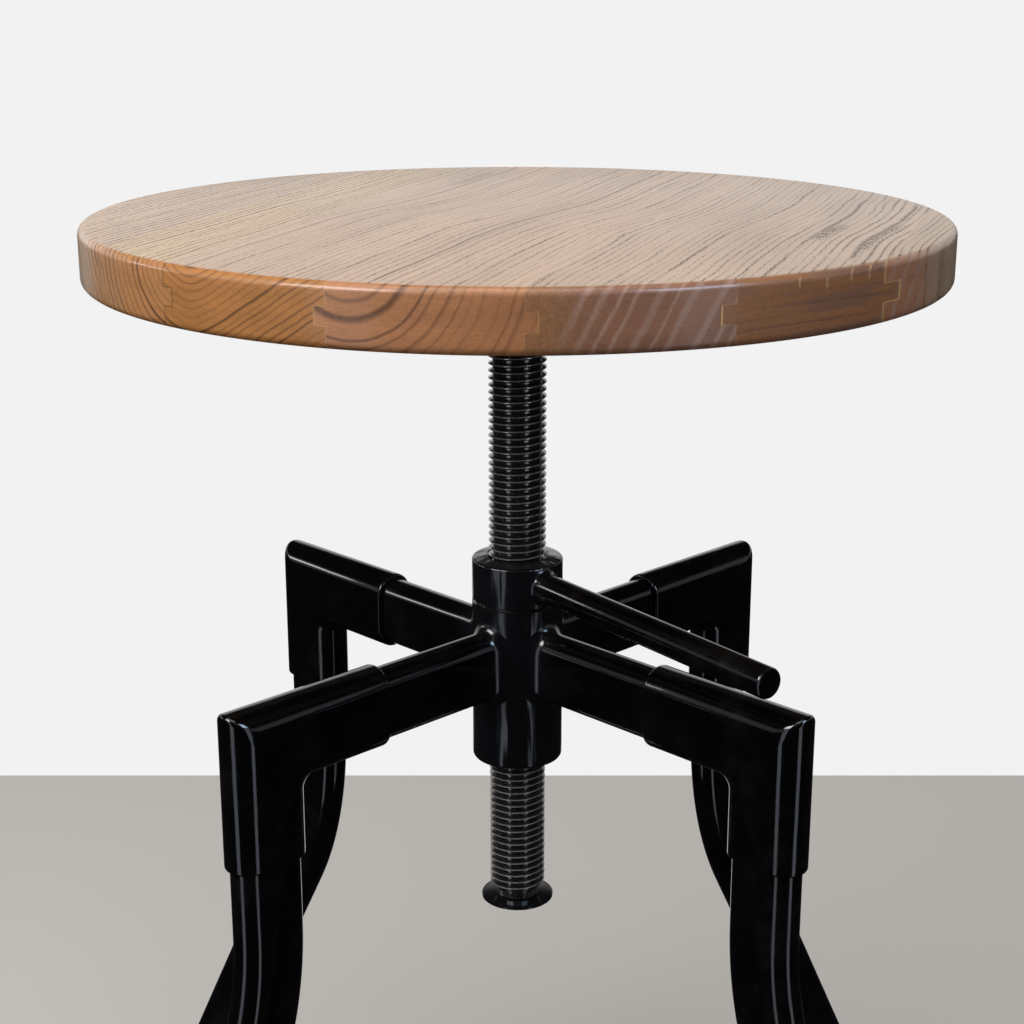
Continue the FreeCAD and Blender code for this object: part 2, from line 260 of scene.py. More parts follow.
class Shading:
    """One material's nodes, with short calls for sums of node outputs."""

    def __init__(self, name):
        self.material = bpy.data.materials.new(name)
        self.material.use_nodes = True
        self.tree = self.material.node_tree
        self.shader = self.tree.nodes["Principled BSDF"]
        self.place = self.node("ShaderNodeTexCoord").outputs
        self.spot = self.brighten(self.place["Object"], 1 / MM)

    def node(self, kind, **settings):
        made = self.tree.nodes.new(kind)
        for key, value in settings.items():
            setattr(made, key, value)
        return made

    def feed(self, socket, value):
        if isinstance(value, bpy.types.NodeSocket):
            self.tree.links.new(value, socket)
        else:
            socket.default_value = value

    def sum_of(self, kind, operation, values):
        made = self.node(kind, operation=operation)
        for socket, value in zip(made.inputs, values):
            self.feed(socket, value)
        return made.outputs

    def math(self, operation, *values):
        return self.sum_of("ShaderNodeMath", operation, values)[0]

    def vector_math(self, operation, *values):
        return self.sum_of("ShaderNodeVectorMath", operation, values)

    def add(self, a, b):
        return self.math("ADD", a, b)

    def subtract(self, a, b):
        return self.math("SUBTRACT", a, b)

    def times(self, a, b):
        return self.math("MULTIPLY", a, b)

    def distance(self, value, middle):
        """How far a value lies from a middle one, either way."""
        return self.math("ABSOLUTE", self.subtract(value, middle))

    def ramp(self, value, low, high, low_result=0.0, high_result=1.0):
        """A smooth step from one result to the other."""
        made = self.node("ShaderNodeMapRange", interpolation_type="SMOOTHSTEP")
        for socket, given in zip(made.inputs, (value, low, high, low_result, high_result)):
            self.feed(socket, given)
        return made.outputs[0]

    def dot(self, vector, direction):
        return self.vector_math("DOT_PRODUCT", vector, direction)["Value"]

    def stretched(self, upright):
        """The place in millimetres, drawn out upright by an amount."""
        return self.vector_math("MULTIPLY", self.spot, (1.0, 1.0, 1.0 / upright))["Vector"]

    def from_axis(self):
        """Distance from the stool's upright axis."""
        level = self.vector_math("MULTIPLY", self.spot, (1.0, 1.0, 0.0))["Vector"]
        return self.vector_math("LENGTH", level)["Value"]

    def combine(self, x, y, z):
        made = self.node("ShaderNodeCombineXYZ")
        for socket, value in zip(made.inputs, (x, y, z)):
            self.feed(socket, value)
        return made.outputs[0]

    def noise(self, vector, scale=1.0, detail=2.0, roughness=0.5):
        made = self.node("ShaderNodeTexNoise")
        self.feed(made.inputs["Vector"], vector)
        self.feed(made.inputs["Scale"], scale)
        self.feed(made.inputs["Detail"], detail)
        self.feed(made.inputs["Roughness"], roughness)
        return made.outputs["Fac"]

    def noise_over(self, first, first_scale, second, second_scale, third, **settings):
        """Noise over two measures, each with a scale of its own."""
        return self.noise(self.combine(self.times(first, first_scale),
                                       self.times(second, second_scale), third), **settings)

    def mix(self, share, first, second):
        made = self.node("ShaderNodeMix", data_type="RGBA")
        colours = [socket for socket in made.inputs if socket.type == "RGBA"]
        self.feed(made.inputs[0], share)
        self.feed(colours[0], first)
        self.feed(colours[1], second)
        return [socket for socket in made.outputs if socket.type == "RGBA"][0]

    def mix_value(self, share, first, second):
        made = self.node("ShaderNodeMix", data_type="FLOAT")
        self.feed(made.inputs[0], share)
        self.feed(made.inputs[2], first)
        self.feed(made.inputs[3], second)
        return made.outputs[0]

    def brighten(self, colour, factor):
        made = self.node("ShaderNodeVectorMath", operation="SCALE")
        self.feed(made.inputs[0], colour[:3] if isinstance(colour, tuple) else colour)
        self.feed(made.inputs["Scale"], factor)
        return made.outputs[0]

    def bump(self, height, depth, under=None):
        """Bumps of a depth in millimetres, over those of another normal."""
        made = self.node("ShaderNodeBump")
        self.feed(made.inputs["Strength"], 1.0)
        self.feed(made.inputs["Distance"], depth * MM)
        self.feed(made.inputs["Height"], height)
        if under is not None:
            self.feed(made.inputs["Normal"], under)
        return made.outputs[0]

    def finish(self, **sockets):
        for name, value in sockets.items():
            self.feed(self.shader.inputs[name.replace("_", " ")], value)
        return self.material


def rgb(red, green, blue):
    """A linear colour."""
    return (red, green, blue, 1.0)


# Wood

# Each stave. On its long faces the growth lines lie `spacing` apart, swing by `swing`
# across the grain over the seat's middle and show by `strong`. On its sawn end they
# lie `rings` apart and show dark by `lines` and pale by `pale`: either as circles
# round a centre `centre` across the grain and `above` the seat's top, or, with a
# `slope` in degrees, as bowls of that width `bowl` with straight sides. `crowd` draws
# them closer within a distance of the centre, and between those of `fade` they grow
# faint. `face` and `end` are the colours; `face` is the wood's face grain with painted
# sheen in it, paler and greyer than the wood alone. `shadow` darkens the end in blotches,
# and `shift` turns its colour to another from one place across the grain to the next,
# where the pale lines end if `pale_ends`. On the first and last staves that other colour
# is painted sheen, paler towards the seat's outer edge.
STAVES = [
    dict(spacing=2.9, swing=4, strong=2.8, face=rgb(0.530, 0.376, 0.267),
         centre=-66, above=14, rings=3.4, lines=1.0, pale=0.0, end=rgb(0.45, 0.235, 0.115),
         # This stave's other colour is painted sheen: its end grows paler towards the outer edge.
         shift=(-112, -132, rgb(0.54, 0.40, 0.30))),
    dict(spacing=2.8, swing=4, strong=2.8, face=rgb(0.567, 0.402, 0.253),
         centre=-66, above=1, rings=2.9, lines=1.0, pale=0.0, end=rgb(0.45, 0.205, 0.075),
         shift=(-90, -112, rgb(0.46, 0.245, 0.120))),
    dict(spacing=3.2, swing=14, strong=1.25, face=rgb(0.525, 0.369, 0.263),
         centre=-63, slope=33, bowl=6, rings=2.3, lines=0.90, pale=0.0,
         end=rgb(0.45, 0.190, 0.055)),
    dict(spacing=3.4, swing=14, strong=1.15, face=rgb(0.525, 0.366, 0.262),
         centre=-1, above=9, rings=3.85, lines=0.95, pale=0.0, end=rgb(0.46, 0.200, 0.086),
         crowd=(27.0, 0.11), fade=(24.0, 48.0)),
    dict(spacing=3.2, swing=9, strong=1.4, face=rgb(0.510, 0.363, 0.263),
         centre=30, slope=66, bowl=12, rings=4.9, lines=0.20, pale=0.75,
         end=rgb(0.31, 0.145, 0.085), shift=(74, 60, rgb(0.37, 0.175, 0.078)), pale_ends=True),
    dict(spacing=3.4, swing=6, strong=1.6, face=rgb(0.500, 0.361, 0.265),
         centre=134, above=-190, rings=3.4, lines=0.45, pale=0.12, end=rgb(0.37, 0.165, 0.068),
         shadow=0.75),
    dict(spacing=3.0, swing=4, strong=1.35, face=rgb(0.480, 0.343, 0.244),
         centre=110, slope=78, bowl=6, rings=3.1, lines=0.20, pale=0.75,
         # This stave's other colour is painted sheen: a pale grey at its outer edge.
         end=rgb(0.42, 0.195, 0.110), shift=(163, 169, rgb(0.42, 0.27, 0.20))),
]

# Strong marks on the long faces: the stave, the place across the grain, where the
# mark starts and ends along it, its half width, how dark it is and how broken up.
MARKS = [
    (2, -65.0, -170, 170, 0.55, 0.80, 0.3),
    (2, -69.5, 78, 140, 3.60, 0.45, 0.8),
    (2, -55.0, -170, 20, 0.40, 0.55, 0.6),
    (3, 5.0, -170, 170, 0.60, 0.90, 0.2),
    (3, 22.0, -60, 120, 0.40, 0.55, 0.6),
    (4, 62.0, -30, 90, 0.45, 0.45, 0.7),
    (5, 120.0, -16, 95, 1.30, 0.95, 0.6),
    (5, 122.5, -38, 14, 5.00, 1.00, 1.0),
    (5, 141.5, -79, 80, 1.40, 1.00, 0.6),
    (5, 143.0, -58, 20, 3.80, 1.00, 1.0),
]

# The glue in each joint, from the first to the last: how much its tongue's end
# shows, how much the rest does, and its colour.
GLUE = [
    (0.30, 0.25, rgb(0.50, 0.30, 0.13)),
    (0.70, 0.60, rgb(0.09, 0.045, 0.018)),
    (0.50, 0.40, rgb(0.60, 0.36, 0.16)),
    (0.60, 0.18, rgb(0.58, 0.33, 0.14)),
    (0.95, 0.16, rgb(0.74, 0.47, 0.17)),
    (0.95, 0.75, rgb(0.72, 0.46, 0.17)),
]

# Short upright pale streaks on the sawn ends: the place across the grain, and the
# depths below the seat's top where the streak starts and ends.
STREAKS = [(138.4, 2.5, 6.0), (144.8, 0.8, 4.6), (149.6, 0.8, 5.2), (131.0, 1.5, 4.5)]

dark_line = rgb(0.062, 0.030, 0.017)
end_line_colour = rgb(0.095, 0.036, 0.015)
shadowed_end = rgb(0.23, 0.125, 0.095)
pale_line = rgb(0.52, 0.33, 0.26)
streak_colour = rgb(0.70, 0.45, 0.22)
glue_width = 0.33
mark_fade = 14.0
grain = Vector((math.cos(math.radians(grain_azimuth)), math.sin(math.radians(grain_azimuth)), 0))
across = Vector((grain.y, -grain.x, 0))
seat_thickness = seat_top - seat_underside
tongue_low = seat_underside + seat_thickness * (1 - tongue_share) / 2
tongue_high = tongue_low + seat_thickness * tongue_share


def tongue_of(index):
    """How far a joint's tongue reaches: each points the other way from the last."""
    return -tongue_depth if index % 2 == 0 else tongue_depth


def glue_mask(shade, offset, height, index):
    """Where the glue of one stepped joint shows, from 0 to 1."""
    tongue_shows, rest_shows, _ = GLUE[index]
    start = stave_joints[index]
    tongue = tongue_of(index)
    low = tongue_low + tongue_taper / 2
    high = tongue_high - tongue_taper / 2
    inside = shade.times(shade.math("GREATER_THAN", height, low),
                         shade.math("LESS_THAN", height, high))

    def line(value, middle):
        return shade.ramp(shade.distance(value, middle), glue_width * 0.4, glue_width, 1.0, 0.0)

    beside = shade.math("LESS_THAN", shade.distance(offset, start + tongue / 2), abs(tongue) / 2)
    level = shade.times(shade.math("MAXIMUM", line(height, low), line(height, high)), beside)
    plain = shade.times(line(offset, start), shade.subtract(1.0, inside))
    end = shade.times(line(offset, start + tongue), inside)
    return shade.math("MAXIMUM", shade.times(end, tongue_shows),
                      shade.times(shade.math("MAXIMUM", level, plain), rest_shows))


def growth_lines(shade, count, along, seed, before, after):
    """Dark lines at whole numbers of a count, each of its own strength, as wide as shares of it."""
    ring = shade.math("ROUND", count)
    away = shade.subtract(count, ring)
    dice = shade.node("ShaderNodeTexWhiteNoise", noise_dimensions="1D")
    shade.feed(dice.inputs["W"], shade.add(ring, seed))
    strength = dice.outputs["Value"]
    width = shade.add(shade.times(strength, 0.15), after)
    band = shade.times(shade.ramp(away, -before, 0.0), shade.ramp(away, 0.0, width, 1.0, 0.0))
    patches = shade.noise_over(along, 0.022, ring, 0.71, seed, detail=1.0)
    patches = shade.ramp(patches, 0.33, 0.58, 0.40, 1.0)
    return shade.times(band, shade.times(patches, shade.add(shade.times(strength, 0.55), 0.45)))


def end_reach(shade, stave, sideways, depth):
    """Distance that counts a sawn end's lines: from a circle's centre, or across a bowl's side."""
    square = shade.times(sideways, sideways)
    if "slope" not in stave:
        upward = shade.add(depth, float(stave["above"]))
        return shade.math("SQRT", shade.add(square, shade.times(upward, upward)))
    slope = math.radians(stave["slope"])
    bowl = float(stave["bowl"])
    rounded = shade.subtract(shade.math("SQRT", shade.add(square, bowl ** 2)), bowl)
    return shade.add(shade.times(depth, math.cos(slope)), shade.times(rounded, math.sin(slope)))


def long_face(shade, index, seed, offset, along, height):
    """Colour, growth lines and fibre of a stave's long faces."""
    stave = STAVES[index]
    slow = shade.noise_over(along, 0.012, offset, 0.020, 3.1, detail=1.0)
    quick = shade.noise_over(along, 0.045, offset, 0.05, seed, detail=1.0)
    swing = shade.ramp(along, -50.0, 60.0, 0.0, float(stave["swing"]))
    straight = shade.add(shade.subtract(offset, swing),
                         shade.add(shade.times(shade.subtract(slow, 0.5), 5.0),
                                   shade.times(shade.subtract(quick, 0.5), 1.5)))
    uneven = shade.noise(shade.combine(shade.times(straight, 0.16), seed, 0.0), detail=1.0)
    count = shade.add(shade.times(straight, 1 / stave["spacing"]), shade.times(uneven, 1.6))
    pores = shade.combine(shade.times(along, 0.26), shade.times(offset, 2.7),
                          shade.times(height, 2.7))
    dashes = shade.ramp(shade.noise(pores, roughness=0.65), 0.44, 0.57)
    line = shade.times(growth_lines(shade, count, along, seed, 0.09, 0.22),
                       shade.times(shade.add(shade.times(dashes, 0.82), 0.18), stave["strong"]))
    flecks = shade.noise(pores, scale=1.3, roughness=0.6)
    line = shade.math("MAXIMUM", line, shade.ramp(flecks, 0.60, 0.68, 0.0, 0.34))
    for owner, middle, first, last, half_width, dark, broken in MARKS:
        if owner != index:
            continue
        away = shade.distance(straight, middle)
        mark = shade.ramp(away, half_width * 0.25, half_width, dark, 0.0)
        mark = shade.times(mark, shade.ramp(along, float(first), first + mark_fade))
        mark = shade.times(mark, shade.ramp(along, last - mark_fade, float(last), 1.0, 0.0))
        mark = shade.times(mark, shade.add(shade.times(dashes, broken), 1 - broken))
        line = shade.math("MAXIMUM", line, mark)
    fibre = shade.noise(shade.combine(shade.times(along, 0.03), shade.times(offset, 1.3),
                                      shade.times(height, 1.3)), detail=3.0, roughness=0.6)
    tone = shade.noise_over(along, 0.006, offset, 0.04, seed)
    light = shade.add(shade.add(shade.times(fibre, 0.46), shade.times(tone, 0.50)), 0.54)
    # The face colour carries painted sheen: the lacquered top's pale grey look is in it.
    return shade.mix(line, shade.brighten(stave["face"], light), dark_line), line, fibre


def sawn_end(shade, index, seed, offset, along, height):
    """Colour and growth lines of a stave's sawn ends."""
    stave = STAVES[index]
    depth = shade.subtract(seat_top, height)
    wobble = shade.subtract(shade.noise(shade.combine(offset, height, seed), scale=0.09), 0.5)
    sideways = shade.add(shade.subtract(offset, float(stave["centre"])), shade.times(wobble, 2.4))
    reach = end_reach(shade, stave, sideways, depth)
    uneven = shade.noise(shade.combine(shade.times(reach, 0.12), seed, 2.0), detail=1.0)
    count = shade.add(shade.times(reach, 1 / stave["rings"]),
                      shade.times(shade.subtract(uneven, 0.5), 1.2))
    if "crowd" in stave:
        radius, crowding = stave["crowd"]
        inner = shade.math("MAXIMUM", shade.subtract(radius, reach), 0.0)
        count = shade.add(count, shade.times(inner, crowding))
    mottle = shade.noise(shade.spot, scale=0.9, detail=3.0, roughness=0.65)
    blotch = shade.noise_over(offset, 0.035, height, 0.12, seed, detail=3.0, roughness=0.6)
    rays = shade.noise_over(offset, 0.30, height, 2.4, seed)
    line = shade.times(growth_lines(shade, count, along, seed + 3, 0.20, 0.20),
                       shade.add(shade.times(mottle, 0.9), 0.50))
    if "fade" in stave:
        line = shade.times(line, shade.ramp(reach, *stave["fade"], 1.0, 0.45))
    pale = shade.ramp(shade.math("PINGPONG", shade.add(count, 0.5), 0.5), 0.26, 0.46)
    pale = shade.times(pale, shade.add(shade.times(mottle, 1.2), stave["pale"] - 0.6))

    light = shade.add(shade.add(shade.times(mottle, 0.40), shade.times(blotch, 0.65)),
                      shade.add(shade.times(rays, 0.45), 0.27))
    colour = shade.brighten(stave["end"], light)
    if "shadow" in stave:
        shaded = shade.ramp(blotch, 0.45, 0.62, 0.0, stave["shadow"])
        colour = shade.mix(shaded, colour, shadowed_end)
    # The other colour is the wood's own tone on most staves, but painted sheen near the outer edge
    # on the first and last.
    if "shift" in stave:
        first, last, other = stave["shift"]
        shifted = shade.ramp(offset, float(first), float(last))
        other = shade.brighten(other, shade.add(shade.times(mottle, 0.9), 0.5))
        colour = shade.mix(shifted, colour, other)
        if "pale_ends" in stave:
            pale = shade.times(pale, shade.subtract(1.0, shifted))
    if stave["pale"]:
        colour = shade.mix(shade.times(pale, 0.8), colour, pale_line)
    colour = shade.mix(shade.times(line, stave["lines"]), colour, end_line_colour)
    broken = shade.ramp(mottle, 0.35, 0.6, 0.4, 1.0)
    for middle, first, last in STREAKS:
        streak = shade.ramp(shade.distance(offset, middle), 0.12, 0.45, 0.75, 0.0)
        streak = shade.times(streak, shade.ramp(depth, first - 0.6, first + 0.4))
        streak = shade.times(streak, shade.ramp(depth, last - 0.8, last + 0.6, 1.0, 0.0))
        colour = shade.mix(shade.times(streak, broken), colour, streak_colour)
    return colour, line


def wood(index):
    """Lacquered ring-porous wood for one stave: its long faces and its sawn ends."""
    shade = Shading("seat_wood_%d" % (index + 1))
    seed = 17.3 * (index + 1)
    offset = shade.dot(shade.spot, across)
    along = shade.dot(shade.spot, grain)
    height = shade.dot(shade.spot, (0, 0, 1))
    is_end = shade.math("ABSOLUTE", shade.dot(shade.place["Normal"], grain))
    is_end = shade.ramp(is_end, 0.08, 0.38)
    face, face_line, fibre = long_face(shade, index, seed, offset, along, height)
    end, end_line = sawn_end(shade, index, seed, offset, along, height)
    colour = shade.mix(is_end, face, end)
    glue_shows = shade.add(shade.times(is_end, 0.88), 0.12)
    for joint in (index - 1, index):
        if 0 <= joint < len(GLUE):
            glue = shade.times(glue_mask(shade, offset, height, joint), glue_shows)
            colour = shade.mix(glue, colour, GLUE[joint][2])
    line = shade.mix_value(is_end, face_line, shade.times(end_line, 0.5))
    gloss = shade.add(shade.times(line, 0.15), shade.add(shade.times(fibre, 0.10), 0.40))
    return shade.finish(Base_Color=colour, Roughness=gloss, IOR=1.5, Specular_IOR_Level=0.3,
                        Normal=shade.bump(shade.times(line, -1.0), 0.06),
                        Coat_Weight=shade.mix_value(is_end, 0.28, 0.40), Coat_Roughness=0.12)


# Metal and rubber

def black_coat(name, wave_depth, stretch=1.0, ridges=0.0, painted_sheen_and_dust=0.0):
    """Glossy black coating over slightly uneven steel, its waves drawn out upright by a stretch.

    Ridges add finer upright waves, and the last setting greys the black with painted sheen
    and lets dust settle on level faces. Near the hub every coat is greyed with painted sheen.
    """
    shade = Shading(name)
    waves = shade.noise(shade.stretched(stretch), scale=0.07, detail=1.0)
    normal = shade.bump(waves, wave_depth)
    if ridges:
        fine_waves = shade.noise(shade.stretched(9.0), scale=0.30, detail=1.0)
        normal = shade.bump(fine_waves, ridges, under=normal)
    normal = shade.bump(shade.noise(shade.spot, scale=0.9, detail=1.0), 0.004, under=normal)
    dust = shade.ramp(shade.noise(shade.spot, scale=0.05, detail=4.0, roughness=0.65), 0.45, 0.75)
    specks = shade.ramp(shade.noise(shade.spot, scale=2.2), 0.68, 0.76)
    # The last setting, added to the black, is painted sheen: an even bluish grey over the whole
    # coat.
    black = rgb(0.0016 + painted_sheen_and_dust, 0.0016 + painted_sheen_and_dust, 0.0020 + 1.3 * painted_sheen_and_dust)
    colour = shade.mix(shade.add(shade.times(dust, 0.08), shade.times(specks, 0.08)),
                       black, rgb(0.05, 0.05, 0.052))
    # Painted sheen: near the hub the black turns a bluish grey; the same mask makes the coat
    # rougher there.
    near_welds_sheen = shade.ramp(shade.from_axis(), hub_radius + 2.0, hub_radius + 16.0, 1.0, 0.0)
    colour = shade.mix(near_welds_sheen, colour, rgb(0.0066, 0.0066, 0.0085))
    if painted_sheen_and_dust:
        settled = shade.ramp(shade.dot(shade.place["Normal"], (0, 0, 1)), 0.97, 1.0, 0.0, 0.9)
        grit = shade.ramp(shade.noise(shade.spot, scale=1.1, detail=3.0, roughness=0.7), 0.30, 0.70)
        colour = shade.mix(shade.times(settled, grit), colour, rgb(0.11, 0.11, 0.115))
    gloss = shade.add(shade.times(dust, 0.08), shade.add(shade.times(near_welds_sheen, 0.05), 0.10))
    return shade.finish(Base_Color=colour, Roughness=gloss, IOR=1.5, Normal=normal)


def thread_steel():
    """Blackened, oiled thread, worn bright along its crests."""
    shade = Shading("thread_steel")
    grime = shade.noise(shade.spot, scale=0.35, detail=4.0, roughness=0.65)
    crest = shade.ramp(shade.from_axis(), post_radius - 0.42, post_radius - 0.06)
    worn = shade.times(crest, shade.ramp(grime, 0.36, 0.62, 0.35, 1.0))
    nicks = shade.ramp(shade.noise(shade.spot, scale=1.6, detail=3.0, roughness=0.7), 0.58, 0.66)
    colour = shade.mix(worn, rgb(0.014, 0.013, 0.013), rgb(0.66, 0.62, 0.58))
    colour = shade.mix(shade.times(nicks, shade.subtract(1.0, crest)), colour,
                       rgb(0.10, 0.095, 0.09))
    gloss = shade.add(shade.times(grime, 0.16), 0.06)
    normal = shade.bump(shade.noise(shade.spot, scale=1.2), 0.05)
    return shade.finish(Base_Color=colour, Roughness=gloss, Metallic=shade.times(worn, 0.7),
                        IOR=2.0, Normal=normal)


def plated_steel():
    """Zinc-plated steel of the wood screws."""
    shade = Shading("fastener_steel")
    cloud = shade.noise(shade.spot, scale=0.8, detail=3.0)
    colour = shade.mix(cloud, rgb(0.42, 0.42, 0.43), rgb(0.62, 0.62, 0.60))
    gloss = shade.add(shade.times(cloud, 0.2), 0.22)
    return shade.finish(Base_Color=colour, Metallic=1.0, Roughness=gloss)


def rubber():
    """Matt black rubber of the foot caps, worn paler near the floor."""
    shade = Shading("foot_rubber")
    grit = shade.noise(shade.spot, scale=2.0, detail=3.0)
    scuff = shade.ramp(shade.noise(shade.spot, scale=0.15, detail=4.0), 0.5, 0.75)
    low = shade.ramp(shade.dot(shade.spot, (0, 0, 1)), 0.0, 6.0, 1.0, 0.0)
    worn = shade.times(scuff, shade.add(shade.times(low, 0.6), 0.2))
    colour = shade.mix(worn, rgb(0.022, 0.022, 0.023), rgb(0.09, 0.085, 0.08))
    return shade.finish(Base_Color=colour, Roughness=shade.add(shade.times(grit, 0.2), 0.6),
                        Normal=shade.bump(grit, 0.03))


def dress(node, material):
    """Gives a node of the frame that stays visible a material."""
    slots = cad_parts[node].data.materials
    slots.clear()
    slots.append(material)


tube_coat = black_coat("black_coat_tube", 0.10)
# The hub's coat carries painted sheen: a bluish grey over its black, greyer still near the welds.
hub_coat = black_coat("black_coat_hub", 1.6, stretch=2.5, ridges=0.30, painted_sheen_and_dust=0.005)
steel_thread = thread_steel()


# Seat

def joint_offset(index, height):
    """A glue joint's place across the grain at a height, with its tongue."""
    rise = min(max((height - tongue_low) / tongue_taper, 0), 1)
    fall = min(max((tongue_high - height) / tongue_taper, 0), 1)
    return stave_joints[index] + tongue_of(index) * min(rise, fall)


def seat_levels():
    """(height, rim radius) pairs from the seat's underside to its top, rims rounded over."""
    levels = []
    for angle in quarter(6):
        levels.append((seat_underside + seat_edge_round * (1 - math.cos(angle)),
                       seat_radius - seat_edge_round * (1 - math.sin(angle))))
    for height in (tongue_low, tongue_low + tongue_taper, tongue_high - tongue_taper, tongue_high):
        levels.append((height, seat_radius))
    for angle in quarter(6):
        levels.append((seat_top - seat_edge_round * (1 - math.sin(angle)),
                       seat_radius - seat_edge_round * (1 - math.cos(angle))))
    return levels


def stave(index):
    """One stave: a slice of the disc between two joints, as level outlines with the same points."""
    def edges(height, rim):
        left = joint_offset(index - 1, height) if index > 0 else -rim
        right = joint_offset(index, height) if index < len(stave_joints) else rim
        return math.asin(max(left / rim, -1)), math.asin(min(right / rim, 1))

    first, last = edges(seat_top, seat_radius)
    steps = max(6, math.ceil(math.degrees(last - first) / rim_step_degrees))
    rings = []
    for height, rim in seat_levels():
        first, last = edges(height, rim)
        angles = [first + (last - first) * step / steps for step in range(steps + 1)]
        far = [across * rim * math.sin(a) + grain * rim * math.cos(a) for a in angles]
        near = [across * rim * math.sin(a) - grain * rim * math.cos(a) for a in reversed(angles)]
        rings.append([(p.x, p.y, height) for p in far + near])
    points, faces = skin(rings)
    faces = faces[:-2]
    count = 2 * (steps + 1)
    for start, flip in ((0, True), (len(points) - count, False)):
        for step in range(steps):
            across_from = start + count - 1 - step
            face = (start + step, start + step + 1, across_from - 1, across_from)
            faces.append(face[::-1] if flip else face)
    return points, faces


for index in range(len(STAVES)):
    number = index + 1
    add_piece("wood_stave_%d" % number, [stave(index)], wood(index), "seat",
              ["seat_stave_%d" % number])


# Plate, socket and screws under the seat

plate_outline = [(bore_radius, seat_underside), (bore_radius, plate_bottom)]
plate_outline += edge_arc(plate_edge_round, plate_radius, plate_bottom + plate_edge_round,
                          -1, -1)[::-1]
plate_outline += [(plate_radius, seat_underside)]
add_piece("plate", [lathe(plate_outline)], tube_coat, "seat", ["seat_plate"])

socket_outline = [(bore_radius, plate_bottom), (bore_radius, socket_bottom + bore_countersink),
                  (bore_radius + bore_countersink, socket_bottom),
                  (socket_radius - socket_chamfer, socket_bottom),
                  (socket_radius, socket_bottom + socket_chamfer)]
for angle in quarter(6):
    socket_outline.append((socket_radius + socket_weld * (1 - math.cos(angle)),
                           plate_bottom - socket_weld * (1 - math.sin(angle))))
add_piece("socket", [lathe(socket_outline)], hub_coat, "seat", ["post_socket"])

dress("seat_plate_screws", plated_steel())


# Threaded post and its stop

def thread_profile():
    """(height, radius) points of one turn of the thread, from root to root."""
    root = post_radius - thread_depth
    flank = (thread_pitch - thread_crest - thread_root) / 2
    rise = thread_root + flank
    fall = rise + thread_crest
    shoulder = post_radius - thread_softness * thread_depth / flank
    return [(0.0, root), (thread_root, root), (rise - thread_softness, shoulder),
            (rise + thread_softness * 0.6, post_radius),
            (fall - thread_softness * 0.6, post_radius), (fall + thread_softness, shoulder)]


def thread(bottom, top, turn_steps=64):
    """Right-hand screw thread between two levels, its lower end run out to a chamfer."""
    profile = thread_profile()
    turns = math.ceil((top - bottom) / thread_pitch) + 3
    start = bottom - 1.5 * thread_pitch
    form = bmesh.new()
    rows = []
    for turn in range(turns):
        for rise, reach in profile:
            row = []
            for step in range(turn_steps):
                angle = 2 * math.pi * step / turn_steps
                height = start + thread_pitch * (turn + step / turn_steps) + rise
                limit = post_radius - thread_depth * 1.2 + max(height - bottom, 0)
                radius = min(reach, limit)
                row.append(form.verts.new((radius * math.cos(angle), radius * math.sin(angle),
                                           height)))
            rows.append(row)
    for low in range(len(rows) - 1):
        for step in range(turn_steps - 1):
            form.faces.new((rows[low][step], rows[low][step + 1],
                            rows[low + 1][step + 1], rows[low + 1][step]))
    shift = len(profile)
    for low in range(len(rows) - 1 - shift):
        form.faces.new((rows[low][turn_steps - 1], rows[low + shift][0],
                        rows[low + shift + 1][0], rows[low + 1][turn_steps - 1]))
    for level, normal in ((bottom, (0, 0, -1)), (top, (0, 0, 1))):
        cut = bmesh.ops.bisect_plane(form, geom=form.verts[:] + form.edges[:] + form.faces[:],
                                     plane_co=(0, 0, level), plane_no=normal, clear_outer=True)
        rim = [part for part in cut["geom_cut"] if isinstance(part, bmesh.types.BMEdge)]
        bmesh.ops.edgeloop_fill(form, edges=rim)
    form.verts.index_update()
    points = [tuple(vertex.co) for vertex in form.verts]
    faces = [tuple(vertex.index for vertex in face.verts) for face in form.faces]
    form.free()
    return points, faces


neck_top = post_bottom + neck_length
neck = lathe([(0, post_bottom), (neck_radius - 0.4, post_bottom), (neck_radius, post_bottom + 0.4),
              (neck_radius, neck_top + 0.5), (0, neck_top + 0.5)])
add_piece("post", [thread(neck_top, seat_underside), neck], steel_thread, "seat",
          ["threaded_post"], crease_degrees=25)

washer_outline = [(washer_bore, washer_bottom)]
washer_outline += edge_arc(washer_edge_round, washer_radius, washer_bottom + washer_edge_round,
                           -1, -1)[::-1]
washer_outline += edge_arc(washer_edge_round, washer_radius, washer_top - washer_edge_round, -1, 1)
washer_outline += [(washer_bore, washer_top)]
add_piece("washer", [lathe(washer_outline)], tube_coat, "stop", ["stop_washer"])

dress("stop_bolt", steel_thread)


# Hub and lock collar

hub_outline = [(bore_radius, hub_top - bore_countersink),
               (bore_radius, hub_bottom + bore_countersink),
               (bore_radius + bore_countersink, hub_bottom)]
hub_outline += edge_arc(hub_edge_round, hub_radius, hub_bottom + hub_edge_round, -1, -1)[::-1]
hub_outline += [(hub_radius, hub_top - hub_edge_chamfer), (hub_radius - hub_edge_chamfer, hub_top),
                (bore_radius + bore_countersink, hub_top)]
add_piece("hub_boss", [lathe(hub_outline)], hub_coat, "frame", ["hub"])

collar_foot = hub_top + collar_lift
collar_outline = [(bore_radius, collar_top - bore_countersink),
                  (bore_radius, collar_foot + bore_countersink),
                  (bore_radius + bore_countersink, collar_foot),
                  (hub_radius - hub_edge_chamfer, collar_foot),
                  (hub_radius, collar_foot + hub_edge_chamfer)]
collar_outline += edge_arc(collar_edge_round, hub_radius, collar_top - collar_edge_round, -1, 1)
collar_outline += [(bore_radius + bore_countersink, collar_top)]
add_piece("collar", [lathe(collar_outline)], hub_coat, "lock", ["lock_collar"])


